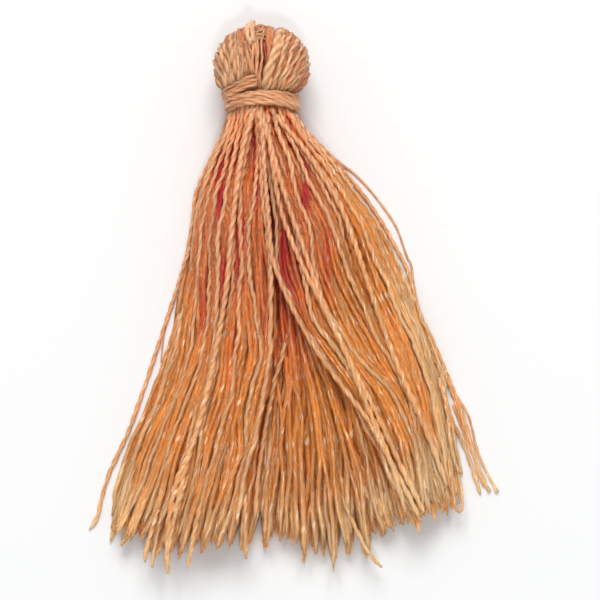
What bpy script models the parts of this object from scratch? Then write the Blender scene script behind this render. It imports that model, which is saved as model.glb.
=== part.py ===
"""A small thread tassel lying on its side.

A hank of two-ply thread is folded in half over a short tie, bound round the neck, and its cut ends fan out on the
surface below. Metres, +Z up. +Y runs from the fringe to the head, and +X is to the right as seen from above. The
origin is on the surface, under the middle of the head. The sizes and tables are in millimetres, and MM turns them
into metres where vertices are made.
"""

import math
import random

import bmesh
import bpy
import numpy as np

MM = 0.001

# Thread and strands
STRAND_COUNT = 112
STRAND_CLEARANCE = 0.06
EASING_ROUNDS = 120
EASING_STEP = 0.5
FRINGE_LENGTH = 24.9
FRINGE_UNEVENNESS = 1.0
LEAST_STRETCH = 0.2
SWAY = 0.14
SWAY_FROM = 5.0
SEED = 11

# Head, neck and binding
HEAD_CENTRE_HEIGHT = 2.25
HEAD_RIDGES = 32
RIDGE_DEPTH = 0.17
HEAD_LEAN = 0.34
HEAD_PARTING_DEPTH = 0.55
HEAD_PARTING_ANGLE = 88
HEAD_PARTING_SPREAD = (5, 20)
FOLD_RIDGES = 0.25
FOLD_DIP = 0.34
FOLD_DIP_WIDTH = 0.62
FOLD_DIP_FROM = 0.6
BINDING_TURNS = 4
BINDING_INNER_RADIUS = 1.66
BINDING_OUTER_RADIUS = 2.08
BINDING_GROOVE = 0.12
BINDING_BOTTOM = -2.96
BINDING_TOP = -1.76
BINDING_TILT = 0.14
BINDING_STEPS = 44

# The binding's tail climbs the head's upper left side and dives into the parting. The angles run from +X over +Z,
# so that 90 degrees faces up and 180 degrees left.
TAIL_RISE = 0.62
TAIL_START = 196
TAIL_TOP = 94
TAIL_END = 84

# The tie that holds the fold
TIE_DIAMETER = 0.24
TIE_X = -0.50

# Head outline: y from the middle of the head, half width in X, half thickness in Z, share of the neck's lift
HEAD_COLUMNS = ("y", "half_width", "half_thickness", "lift")
HEAD_ROWS = (
    (-2.30, 1.30, 1.30, 0.0),
    (-1.42, 1.32, 1.32, 1.0),
    (-1.17, 2.12, 2.02, 1.0),
    (-0.86, 2.46, 2.34, 0.9),
    (-0.42, 2.62, 2.46, 0.7),
    (0.12, 2.62, 2.46, 0.45),
    (0.66, 2.47, 2.26, 0.25),
    (1.10, 2.20, 1.90, 0.1),
    (1.45, 1.90, 1.45, 0.0),
    (1.70, 1.58, 1.00, 0.0),
    (1.86, 1.28, 0.56, 0.0),
    (1.93, 1.06, 0.24, 0.0),
)

# Skirt sections by their drop below the binding. The edges and the parting are X places, and the parting is where
# the upper strands divide in two locks. Heights are of strand centres: under the middle, at the edges, and on the
# crown. An underside below the surface stands for strands that settle on it side by side.
SKIRT_COLUMNS = ("drop", "left", "right", "under", "edge", "crown", "part_left", "part_right", "width")
SKIRT_ROWS = (
    (-0.66, -1.20, 1.20, 1.05, 2.25, 3.45, 0.00, 0.00, 0.11),
    (0.18, -1.36, 1.36, 0.89, 2.25, 3.61, 0.03, 0.03, 0.12),
    (0.90, -2.10, 2.35, 0.62, 1.98, 4.12, 0.10, 0.12, 0.18),
    (2.10, -2.85, 3.50, 0.30, 1.50, 4.28, 0.25, 0.30, 0.24),
    (4.30, -3.80, 5.20, -0.05, 0.90, 4.10, 0.50, 0.60, 0.29),
    (7.40, -4.20, 7.30, -0.40, 0.45, 3.80, 0.70, 0.95, 0.30),
    (11.4, -4.95, 8.55, -0.60, 0.20, 3.30, 0.50, 2.25, 0.30),
    (15.9, -6.05, 10.0, -0.60, 0.00, 2.75, 0.35, 4.30, 0.30),
    (20.4, -7.75, 12.0, -0.50, 0.00, 2.20, 0.00, 6.40, 0.30),
    (26.4, -10.6, 15.0, -0.40, 0.00, 1.80, -0.60, 9.20, 0.30),
)

# The neck's disc of strands, from -1 to 1 across and deep: the strands left of the root place make the left lock,
# and the parting grows from none to full between two depths.
PARTING_ROOT = 0.08
PARTING_FROM = 0.05
PARTING_FULL = 0.45

# Strands that stray out of the skirt, counted from the edge of their side, and how far out they lie at most
STRAY_COLUMNS = ("side", "rank", "first_drop", "last_drop", "out")
STRAY_ROWS = (
    (1, 0, 9.5, 27.0, 0.90),
    (1, 1, 3.0, 14.0, 0.30),
    (-1, 0, 8.5, 27.0, 1.10),
)


def column(rows, names, name):
    """One named column of a table, as an array."""
    return np.array([row[names.index(name)] for row in rows], float)


def clear_scene():
    for existing in list(bpy.data.objects):
        bpy.data.objects.remove(existing)


def thread_material(name, colour, roughness):
    """Mercerised thread: a soft, slightly glossy fibre."""
    material = bpy.data.materials.new(name)
    material.use_nodes = True
    shader = material.node_tree.nodes["Principled BSDF"]
    shader.inputs["Base Color"].default_value = (*colour, 1.0)
    shader.inputs["Roughness"].default_value = roughness
    shader.inputs["Metallic"].default_value = 0.0
    return material


def object_from(name, bm, material):
    """Closes a bmesh into a named object, with its faces pointing out."""
    bmesh.ops.recalc_face_normals(bm, faces=bm.faces)
    mesh = bpy.data.meshes.new(name)
    bm.to_mesh(mesh)
    bm.free()
    mesh.materials.append(material)
    made = bpy.data.objects.new(name, mesh)
    bpy.context.scene.collection.objects.link(made)
    return made


def ring_of(bm, points):
    """One closed ring of vertices, from points in millimetres."""
    return [bm.verts.new([value * MM for value in point]) for point in points]


def skin_between(bm, lower, upper):
    """Quads from one ring to the next, which has as many vertices."""
    for k in range(len(lower)):
        j = (k + 1) % len(lower)
        bm.faces.new((lower[k], lower[j], upper[j], upper[k]))


# Neck and head


def tail_rise(angle):
    """How far the binding's tail has climbed at this angle."""
    degrees = math.degrees(angle) % 360
    if TAIL_TOP <= degrees <= TAIL_START:
        climbed = (TAIL_START - degrees) / (TAIL_START - TAIL_TOP)
        return TAIL_RISE * math.sin(math.pi / 2 * climbed) ** 1.5
    if TAIL_END < degrees < TAIL_TOP:
        return TAIL_RISE * (degrees - TAIL_END) / (TAIL_TOP - TAIL_END)
    return 0.0


def neck_lift(angle):
    """The shift of the neck along Y at this angle: the binding leans, and its tail climbs."""
    return BINDING_TILT * math.sin(angle) + tail_rise(angle)


def ridge_share(climb):
    """How much of the full ridge depth shows, from 0 at the neck to 1 on the widest part and less at the fold."""
    return max(math.sin(math.pi * min(1.0, 1.25 * climb)), FOLD_RIDGES if climb > 0.5 else 0.0)


def head_point(row, index):
    """A point of the head's ridged surface: each ridge is one thread that runs over the fold.

    On the upper and lower sides the threads lean to the right as they climb. The upper side parts in two lobes.
    """
    y, half_width, half_thickness, lift = row
    angle = 2 * math.pi * (index + 0.5) / (2 * HEAD_RIDGES)
    neck_y, fold_y = HEAD_ROWS[0][0], HEAD_ROWS[-1][0]
    climb = (y - neck_y) / (fold_y - neck_y)
    facing = math.sin(angle)
    leaning = angle - math.copysign(HEAD_LEAN * climb * facing * facing, facing)
    narrow, wide = HEAD_PARTING_SPREAD
    away = (math.degrees(angle) - HEAD_PARTING_ANGLE) / (narrow + (wide - narrow) * climb)
    inward = RIDGE_DEPTH * (index % 2) + HEAD_PARTING_DEPTH * math.exp(-away * away)
    inward *= ridge_share(climb)
    x = (half_width - inward) * math.cos(leaning)
    z = HEAD_CENTRE_HEIGHT + (half_thickness - inward) * math.sin(leaning)
    from_tie = (x - TIE_X) / FOLD_DIP_WIDTH
    dip_share = max(0.0, climb - FOLD_DIP_FROM) / (1 - FOLD_DIP_FROM)
    dip = FOLD_DIP * dip_share * math.exp(-from_tie * from_tie)
    return x, y + lift * neck_lift(angle) - dip, max(0.0, z)


def add_head(bm):
    """Skins the head from the neck to the fold, and returns the neck's open ring."""
    count = 2 * HEAD_RIDGES
    rings = [ring_of(bm, [head_point(row, k) for k in range(count)]) for row in HEAD_ROWS]
    for lower, upper in zip(rings, rings[1:]):
        skin_between(bm, lower, upper)
    bm.faces.new(rings[-1])
    return rings[0]


# Skirt


def strand_seats(count):
    """Places of the strands in the unit disc that stands for the neck, from left to right.

    They lie on a golden-ratio lattice, whose points keep their distance however much the disc is flattened, so the
    strands stay apart from the round neck to the wide, thin hem.
    """
    golden = (1 + math.sqrt(5)) / 2
    conjugate = (1 - math.sqrt(5)) / 2
    pitch = math.sqrt(math.pi / (math.sqrt(5) * count))
    reach = range(-40, 41)
    seats = []
    for first in reach:
        for second in reach:
            a, b = first + 0.31, second + 0.17
            across, deep = (a + b * golden) * pitch, (a + b * conjugate) * pitch
            if across**2 + deep**2 <= 1:
                seats.append((across, deep))
    return np.array(sorted(seats))


def section_places(seats, row):
    """The X and Z of each strand's centre where the skirt has this section."""
    drop, left, right, under, edge, crown, part_left, part_right, width = row
    across, deep = seats[:, 0], seats[:, 1]
    column_height = np.sqrt(1 - across**2)
    whole = left + (right - left) * (across + 1) / 2
    in_left = left + (part_left - left) * (across + 1) / (PARTING_ROOT + 1)
    in_right = part_right + (right - part_right) * (across - PARTING_ROOT) / (1 - PARTING_ROOT)
    parted = np.where(across < PARTING_ROOT, in_left, in_right)
    share = np.clip((deep - PARTING_FROM) / (PARTING_FULL - PARTING_FROM), 0, 1)
    share = share * share * (3 - 2 * share)
    sway = SWAY * min(1.0, max(0.0, drop) / SWAY_FROM)
    x = whole + (parted - whole) * share + sway * np.sin(6 * across + 4 * deep + 0.5 * drop)
    low = edge + (under - edge) * column_height
    high = edge + (crown - edge) * column_height
    z = low + (high - low) * (deep / column_height + 1) / 2
    return np.column_stack([x, np.maximum(z, width / 2)])


def add_strays(places, seats):
    """Moves the few strands that stray out of the skirt's edges."""
    drops = column(SKIRT_ROWS, SKIRT_COLUMNS, "drop")
    for side, rank, first_drop, last_drop, out in STRAY_ROWS:
        strand = len(seats) - 1 - rank if side > 0 else rank
        along = np.clip((drops - first_drop) / (last_drop - first_drop), 0, 1)
        places[:, strand, 0] += side * out * np.sin(math.pi * along)


def push_apart(here, need):
    """Half of the shift that parts each two strands whose square sections come closer than they need."""
    apart = here[:, None] - here[None, :]
    gap = np.abs(apart).max(axis=2)
    np.fill_diagonal(gap, np.inf)
    lacking = np.clip(need - gap, 0, None)
    along_x = np.abs(apart[:, :, 0]) >= np.abs(apart[:, :, 1])
    push_x = (lacking * np.sign(apart[:, :, 0]) * along_x).sum(axis=1)
    push_z = (lacking * np.sign(apart[:, :, 1]) * ~along_x).sum(axis=1)
    return np.column_stack([push_x, push_z]) / 2


def ease_apart(places):
    """Parts the strands that touch, at the sections and between them, and keeps them above the surface."""
    widths = column(SKIRT_ROWS, SKIRT_COLUMNS, "width")
    for _ in range(EASING_ROUNDS):
        pushes = np.zeros_like(places)
        for k in range(len(places) - 1):
            for share in (0.0, 0.2, 0.4, 0.6, 0.8, 1.0):
                here = (1 - share) * places[k] + share * places[k + 1]
                width = (1 - share) * widths[k] + share * widths[k + 1]
                push = push_apart(here, width + STRAND_CLEARANCE)
                pushes[k] += (1 - share) * push
                pushes[k + 1] += share * push
        places[1:] += EASING_STEP * pushes[1:]
        places[:, :, 1] = np.maximum(places[:, :, 1], widths[:, None] / 2)


def square_ring(x, drop, z, width):
    """The four corners of a strand's section, with a flat side down."""
    half = width / 2
    y = BINDING_BOTTOM - drop
    return [(x - half, y, z - half), (x + half, y, z - half), (x + half, y, z + half), (x - half, y, z + half)]


def strand_rings(places, strand, reach):
    """A strand's sections from its root to the cut end, which is one reach from the neck."""
    drops = column(SKIRT_ROWS, SKIRT_COLUMNS, "drop")
    widths = column(SKIRT_ROWS, SKIRT_COLUMNS, "width")
    rings = []
    for k in range(len(drops) - 1):
        x, z = places[k, strand]
        rings.append(square_ring(x, drops[k], z, widths[k]))
        next_x, next_z = places[k + 1, strand]
        if math.hypot(next_x, drops[k + 1]) < reach:
            continue
        here, there = math.hypot(x, drops[k]), math.hypot(next_x, drops[k + 1])
        share = (reach - here) / (there - here)
        drop = drops[k] + share * (drops[k + 1] - drops[k])
        if share < LEAST_STRETCH:
            rings.pop()
        end = [x + share * (next_x - x), z + share * (next_z - z)]
        rings.append(square_ring(end[0], drop, end[1], widths[k]))
        break
    return rings


def add_skirt(bm, neck):
    """Closes the neck with a flat end that has a hole for each root, and grows a strand out of each hole."""
    chance = random.Random(SEED)
    seats = strand_seats(STRAND_COUNT)
    places = np.array([section_places(seats, row) for row in SKIRT_ROWS])
    add_strays(places, seats)
    ease_apart(places)
    loops = [neck]
    for strand in range(len(seats)):
        reach = FRINGE_LENGTH + FRINGE_UNEVENNESS * chance.uniform(-1, 1)
        rings = [ring_of(bm, points) for points in strand_rings(places, strand, reach)]
        for upper, lower in zip(rings, rings[1:]):
            skin_between(bm, upper, lower)
        bm.faces.new(rings[-1])
        loops.append(rings[0])
    rim = []
    for loop in loops:
        for k in range(len(loop)):
            ends = loop[k], loop[(k + 1) % len(loop)]
            rim.append(bm.edges.get(ends) or bm.edges.new(ends))
    bmesh.ops.triangle_fill(bm, edges=rim, use_beauty=True)
    return places


def build_hank():
    """The folded hank: head, neck and skirt are the same threads, so they are one piece."""
    bm = bmesh.new()
    neck = add_head(bm)
    add_skirt(bm, neck)
    return object_from("hank", bm, thread_material("hank thread", (0.78, 0.47, 0.26), 0.5))


# Binding


def build_binding():
    """The thread wound round the neck: a band of side-by-side turns, the top one climbing to its tucked end."""
    bm = bmesh.new()
    steps = 2 * BINDING_TURNS + 1
    middle_z = HEAD_CENTRE_HEIGHT
    rings = []
    for k in range(BINDING_STEPS):
        angle = 2 * math.pi * k / BINDING_STEPS
        profile = [(BINDING_INNER_RADIUS, 1.0), (BINDING_INNER_RADIUS, 0.0)]
        for step in range(steps):
            groove = BINDING_GROOVE if step % 2 == 0 else 0.0
            profile.append((BINDING_OUTER_RADIUS - groove, step / (steps - 1)))
        points = []
        for radius, up in profile:
            y = BINDING_BOTTOM + (BINDING_TOP - BINDING_BOTTOM) * up
            y += BINDING_TILT * math.sin(angle) + tail_rise(angle) * max(0.0, 2 * up - 1)
            points.append((radius * math.cos(angle), y, middle_z + radius * math.sin(angle)))
        rings.append(ring_of(bm, points))
    for k, ring in enumerate(rings):
        skin_between(bm, ring, rings[(k + 1) % len(rings)])
    return object_from("binding", bm, thread_material("binding thread", (0.74, 0.43, 0.24), 0.5))


# Tie

# One leg of the tie from its end on the head to the bend over the fold: the half distance between the legs, Y and Z
TIE_COLUMNS = ("aside", "y", "z")
TIE_ROWS = (
    (0.24, 0.84, 4.83),
    (0.23, 1.14, 4.57),
    (0.22, 1.42, 4.21),
    (0.21, 1.66, 3.79),
    (0.20, 1.84, 3.33),
    (0.17, 1.95, 3.01),
    (0.09, 2.01, 2.83),
)


def build_tie():
    """The short loop of thread that holds the fold, lying on the head with its bend over the top."""
    leg = [(TIE_X - aside, y, z) for aside, y, z in TIE_ROWS]
    other_leg = [(TIE_X + aside, y, z) for aside, y, z in reversed(TIE_ROWS)]
    points = leg + other_leg
    route = bpy.data.curves.new("tie", "CURVE")
    route.dimensions = "3D"
    spline = route.splines.new("POLY")
    spline.points.add(len(points) - 1)
    for point, place in zip(spline.points, points):
        point.co = (*(value * MM for value in place), 1.0)
    route.bevel_depth = TIE_DIAMETER / 2 * MM
    route.bevel_resolution = 1
    route.use_fill_caps = True
    route.materials.append(thread_material("tie thread", (0.86, 0.58, 0.34), 0.45))
    made = bpy.data.objects.new("tie", route)
    bpy.context.scene.collection.objects.link(made)
    return made


def main():
    clear_scene()
    build_hank()
    build_binding()
    build_tie()


main()
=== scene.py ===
# %% [markdown]
# # A small thread tassel, lying on its side
#
# The real thing is a hank of two-ply mercerised cotton, folded in half, tied under the fold and bound round
# the neck. Nothing in it is moulded or cut to shape: every form comes from how the threads lie. So this
# lesson has one main tool, a function that spins a twisted thread along any path, and each later step works
# out paths for it. The imported model is loaded first, and its hank, binding and tie are hidden where the
# threads take their place.

import math

import bpy
import numpy as np
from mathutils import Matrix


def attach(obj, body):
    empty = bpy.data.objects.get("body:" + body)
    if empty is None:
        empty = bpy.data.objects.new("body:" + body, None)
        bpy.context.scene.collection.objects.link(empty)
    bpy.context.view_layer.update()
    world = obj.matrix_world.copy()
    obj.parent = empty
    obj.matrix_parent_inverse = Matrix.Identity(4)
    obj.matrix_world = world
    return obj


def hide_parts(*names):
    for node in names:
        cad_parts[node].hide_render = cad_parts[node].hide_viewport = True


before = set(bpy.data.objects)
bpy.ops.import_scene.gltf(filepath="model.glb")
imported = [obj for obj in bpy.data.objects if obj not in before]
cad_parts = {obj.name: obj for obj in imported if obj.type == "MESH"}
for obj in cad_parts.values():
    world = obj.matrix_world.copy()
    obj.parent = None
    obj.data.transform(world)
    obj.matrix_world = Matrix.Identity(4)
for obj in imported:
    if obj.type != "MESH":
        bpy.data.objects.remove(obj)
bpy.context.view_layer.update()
MM = 0.001
rng = np.random.default_rng(7)

# %% [markdown]
# The camera looks straight down, as the photographer's did, with the head at the top of the picture. The
# frame's origin is under the middle of the head. The long lens keeps the 5 mm of height from spreading the
# picture.

# %% Camera
PICTURE_WIDTH = 33.03
ORIGIN_FROM_LEFT = 14.42
ORIGIN_FROM_TOP = 3.30
LENS_HEIGHT = 240.0
SENSOR = 36.0


def aim_camera():
    """A camera over the object that takes in the picture's width at mid height."""
    data = bpy.data.cameras.new("overhead")
    camera = bpy.data.objects.new("overhead", data)
    bpy.context.scene.collection.objects.link(camera)
    data.sensor_width = SENSOR
    data.lens = SENSOR * (LENS_HEIGHT - 2.0) / PICTURE_WIDTH
    data.clip_start = 0.005
    data.clip_end = 10
    centre_x = PICTURE_WIDTH / 2 - ORIGIN_FROM_LEFT
    centre_y = ORIGIN_FROM_TOP - PICTURE_WIDTH / 2
    camera.location = (centre_x * MM, centre_y * MM, LENS_HEIGHT * MM)
    bpy.context.scene.camera = camera
    return camera


camera = aim_camera()
print("camera over", [round(v / MM, 2) for v in camera.location])

# %% [markdown]
# Paths are arrays of points, strand by strand, in millimetres. A few small helpers shape them: unit
# vectors, a smooth step, a smooth curve through the rows of a table, and points spaced evenly along a path.

# %% Helpers for paths
def unit(vectors):
    """Vectors scaled to length one."""
    return vectors / np.maximum(np.linalg.norm(vectors, axis=-1, keepdims=True), 1e-9)


def ease(value, start, end):
    """0 before start, 1 after end, and smooth between."""
    share = np.clip((np.asarray(value, float) - start) / (end - start), 0, 1)
    return share * share * (3 - 2 * share)


def smooth_curve(knots, values, at):
    """A smooth curve through values at the knots, read at other places. Values may have more axes."""
    knots, values, at = np.asarray(knots, float), np.asarray(values, float), np.asarray(at, float)
    slopes = np.gradient(values, knots, axis=0)
    k = np.clip(np.searchsorted(knots, at) - 1, 0, len(knots) - 2)
    span = knots[k + 1] - knots[k]
    t = np.clip((at - knots[k]) / span, 0, 1)
    shape = (-1,) + (1,) * (values.ndim - 1)
    t, span = t.reshape(shape), span.reshape(shape)
    return (
        values[k] * (2 * t**3 - 3 * t**2 + 1)
        + slopes[k] * (t**3 - 2 * t**2 + t) * span
        + values[k + 1] * (3 * t**2 - 2 * t**3)
        + slopes[k + 1] * (t**3 - t**2) * span
    )


def lengths_along(path):
    """The distance travelled at each point of one path."""
    steps = np.linalg.norm(np.diff(path, axis=0), axis=1)
    return np.concatenate([[0.0], np.cumsum(steps)])


def respaced(path, step):
    """One path with its points a step apart, and its first and last points kept."""
    travelled = lengths_along(path)
    count = max(4, int(round(travelled[-1] / step)) + 1)
    at = np.linspace(0, travelled[-1], count)
    return np.column_stack([np.interp(at, travelled, path[:, axis]) for axis in range(3)])


def curve_through(points, count):
    """So many points on a smooth curve through the rows of a table."""
    points = np.array(points)
    return smooth_curve(np.arange(len(points)), points, np.linspace(0, len(points) - 1, count))


def carried_frames(path):
    """Two directions across a path at each point, carried along it without turning."""
    tangent = unit(np.gradient(path, axis=0))
    start = np.array([0.0, 0.0, 1.0]) if abs(tangent[0, 2]) < 0.8 else np.array([1.0, 0.0, 0.0])
    side = np.empty_like(path)
    side[0] = unit(start - tangent[0] * (start @ tangent[0]))
    for k in range(1, len(path)):
        side[k] = unit(side[k - 1] - tangent[k] * (side[k - 1] @ tangent[k]))
    return side, np.cross(tangent, side)


print("smooth step at a quarter:", round(float(ease(0.25, 0, 1)), 3))

# %% [markdown]
# Two-ply thread is two yarns wound round each other. Cut across, it is a figure of eight that turns once in
# about 1.25 mm, so from the side it shows a slanted bump every 0.6 mm. A round tube with a bump map could
# stand for it, but the outline of each strand would be straight, so the figure of eight is a real section
# here. Its points turn with the plies, which keeps the crease between the two plies on one line of
# vertices. Threads that lie under others get a plainer section of five points, and their plies are painted
# on.

# %% Spin a thread
THREAD_RADIUS = 0.16
PLY_PITCH = 1.25
RING_STEP = 0.18
FULL_SECTION = np.radians([-62, -22, 22, 62, 90, 118, 158, 202, 242, 270])
PLAIN_SECTION = np.radians([-72, 0, 72, 144, 216])
PLY_OFFSET = 0.43
PLY_RADIUS = 0.57


def figure_of_eight(angles):
    """Radii of the section of two round plies side by side, for a thread radius of one."""
    offset = PLY_OFFSET * np.abs(np.cos(angles))
    chord = PLY_RADIUS**2 - (PLY_OFFSET * np.sin(angles)) ** 2
    return offset + np.sqrt(np.maximum(chord, 0.0))


def spin(path, radius=THREAD_RADIUS, pitch=PLY_PITCH, crease=0.6, slack=0.0, point=0.35, taper=0.35,
         plain=False, flat=1.0):
    """The rings of one twisted thread along a path, with what the finish needs to know at each vertex.

    The radius may change along the path. The crease is 1 for separate plies and 0 for a round, and may
    change too. Slack loosens the twist towards the end. The point is the share of the radius left at the cut
    end, reached over the length of the taper. Plain takes the plainer section. Flat is how high the section
    is for its width, for loose threads that spread where they lie.
    """
    section = PLAIN_SECTION if plain else FULL_SECTION
    travelled = lengths_along(path)
    share = travelled / travelled[-1]
    side, other = carried_frames(path)
    turn = 2 * math.pi * travelled / (pitch * (1 + slack * share))
    turn = turn + rng.uniform(0, 2 * math.pi) + 0.7 * np.sin(0.8 * travelled + rng.uniform(0, 6))
    angles = section[None, :] + turn[:, None]
    ends = 1 - (1 - point) * ease(travelled, travelled[-1] - taper, travelled[-1])
    swell = 1 + 0.07 * np.sin(travelled * 2.1 + rng.uniform(0, 6))
    swell = swell + 0.05 * np.sin(travelled * 0.7 + rng.uniform(0, 6))
    shape = figure_of_eight(section)
    depth = np.broadcast_to(np.asarray(crease, float), travelled.shape)[:, None]
    radii = (1 + (shape - 1)[None, :] * depth) * (radius * ends * swell)[:, None]
    cross = side[:, None] * np.cos(angles)[..., None] + other[:, None] * np.sin(angles)[..., None]
    return {
        "rings": path[:, None] + cross * radii[..., None] * np.array([2 - flat, 1.0, flat]),
        "travelled": travelled,
        "outward": cross,
        "groove": (1 - shape) / (1 - shape.min()),
        "tone": rng.uniform(),
        "loose": float(plain),
    }


def shade_by_depth(thread, depth, open_side, flank=0.45):
    """Sets how buried each vertex is, which the finish paints as shade: its thread's depth, and more on the
    flanks than on the open side.
    """
    facing = (thread.pop("outward") * unit(open_side)[:, None]).sum(-1)
    thread["buried"] = np.asarray(depth).reshape(-1, 1) + flank * (1 - np.clip(facing, 0, 1)) ** 1.4
    return thread


print("section radii:", figure_of_eight(FULL_SECTION).round(2))

# %% [markdown]
# Many threads go in one mesh, written in one go from arrays, which is far quicker than adding faces one by
# one. Each vertex carries what the finish needs: how deep it lies among its neighbours and how deep it is in
# the crease between the plies, which the finish paints as shade, how much wear it shows together with the
# painted light on the outer strands, its thread's own tone, and whether the thread is one of the plainer,
# looser ones. A UV map holds the millimetres along the thread and the turn around it, for the fibres.

# %% Weave threads into one mesh
def for_each_vertex(values, thread):
    """Values of a thread, which may be one, one per ring or one per vertex, as one per vertex."""
    values = np.asarray(values, float)
    if values.ndim == 1:
        values = values[:, None]
    return np.broadcast_to(values, thread["rings"].shape[:2]).ravel()


def mesh_of_threads(name, threads, material):
    """One object from several spun threads, closed at both ends."""
    points, quads, caps, maps, base = [], [], [], [], 0
    values = {"buried": [], "wear_and_edge_light": [], "tone": [], "loose": [], "groove": []}
    for thread in threads:
        count, per_ring = thread["rings"].shape[:2]
        points.append(thread["rings"].reshape(-1, 3))
        k, j = np.meshgrid(np.arange(count - 1), np.arange(per_ring), indexing="ij")
        k, j = k.ravel(), j.ravel()
        after = (j + 1) % per_ring
        corners = (k * per_ring + j, k * per_ring + after, (k + 1) * per_ring + after, (k + 1) * per_ring + j)
        quads.append(np.stack(corners, axis=1) + base)
        caps.append(np.arange(per_ring)[::-1] + base)
        caps.append(np.arange(per_ring) + base + (count - 1) * per_ring)
        travelled = thread["travelled"]
        along = np.stack([travelled[k], travelled[k], travelled[k + 1], travelled[k + 1]], axis=1)
        around = np.stack([j, j + 1, j + 1, j], axis=1) / per_ring + thread["tone"] * 7
        maps.append(np.stack([along, around], axis=-1).reshape(-1, 2))
        for label in ("buried", "wear_and_edge_light", "tone", "loose"):
            values[label].append(for_each_vertex(thread.get(label, 0.0), thread))
        values["groove"].append(np.tile(thread["groove"], count))
        base += count * per_ring
    quads = np.concatenate(quads)
    sizes = np.array([4] * len(quads) + [len(cap) for cap in caps], dtype=np.int32)
    corners = np.concatenate([quads.ravel(), *caps]).astype(np.int32)
    mesh = bpy.data.meshes.new(name)
    mesh.vertices.add(base)
    mesh.vertices.foreach_set("co", (np.concatenate(points) * MM).ravel())
    mesh.loops.add(len(corners))
    mesh.loops.foreach_set("vertex_index", corners)
    mesh.polygons.add(len(sizes))
    mesh.polygons.foreach_set("loop_start", (np.cumsum(sizes) - sizes).astype(np.int32))
    mesh.polygons.foreach_set("loop_total", sizes)
    mesh.update(calc_edges=True)
    mesh.shade_smooth()
    for label, parts in values.items():
        attribute = mesh.attributes.new(label, "FLOAT", "POINT")
        attribute.data.foreach_set("value", np.concatenate(parts).astype(np.float32))
    uv = np.zeros((len(corners), 2), np.float32)
    uv[: quads.size] = np.concatenate(maps)
    mesh.uv_layers.new(name="thread").data.foreach_set("uv", uv.ravel())
    mesh.materials.append(material)
    piece = bpy.data.objects.new(name, mesh)
    bpy.context.scene.collection.objects.link(piece)
    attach(piece, "root")
    print(name, "threads:", len(threads), "triangles:", int((sizes - 2).sum()))
    return piece


# %% [markdown]
# Mercerised cotton is cotton swollen in lye and stretched: the fibres turn round and glossy, so the dyed
# thread has a silky sheen, peach where light lands straight on it. Light also soaks a little way into a
# thread and comes out warmer and softer, which the subsurface scattering gives. Between the threads it
# bounces from dyed fibre to dyed fibre, and each bounce takes out more blue and green: the gaps look orange
# and the deepest ones crimson. Bounces alone give a part of it, so the rest is painted shade: the depth of
# each vertex and the crease between the plies turn the lit colour to an orange and then a crimson colour of
# painted shade and bounced light. Threads of the plainer section have their plies painted on as painted
# highlights, in the lit colour, as a wave that runs slantwise over the UV map and is cut into dashes by
# noise. Rare near-white glints are painted highlights too. The fibres themselves are 0.015 mm thick, far
# under a pixel, so they are drawn coarser, as streaks of 0.05 mm.

# %% Material helpers
def linear(code):
    """A linear colour from an sRGB hex code."""
    parts = [int(code[k : k + 2], 16) / 255 for k in (1, 3, 5)]
    return (*[c / 12.92 if c <= 0.04045 else ((c + 0.055) / 1.055) ** 2.4 for c in parts], 1.0)


def node(tree, kind, settings=None, **links):
    """Adds a node. Settings are its properties, and links are values or sockets for its inputs."""
    made = tree.nodes.new(kind)
    for key, value in (settings or {}).items():
        setattr(made, key, value)
    for key, value in links.items():
        socket = made.inputs[int(key[1:])] if key[0] == "_" else made.inputs[key.replace("_", " ")]
        if isinstance(value, bpy.types.NodeSocket):
            tree.links.new(value, socket)
        else:
            socket.default_value = value
    return made


# %% The thread's finish
# Lit colours, then colours of painted shade and of painted deep shade, for the lower fringe and for the cut
# ends.
LOW_COLOURS = ("#CE9F70", "#D88432", "#F08028")
END_COLOURS = ("#DAB488", "#DEAC70", "#F0AE68")
# A painted highlight: the colour of the rare glints painted on the threads.
PAINTED_GLINT_COLOUR = "#FAE3C2"
# Radians for each mm along the thread, and for each turn round it: a painted ply, a painted highlight in the
# lit colour, every 0.68 mm.
PLY_WAVE = (9.2, 12.566, 0.0)


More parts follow.
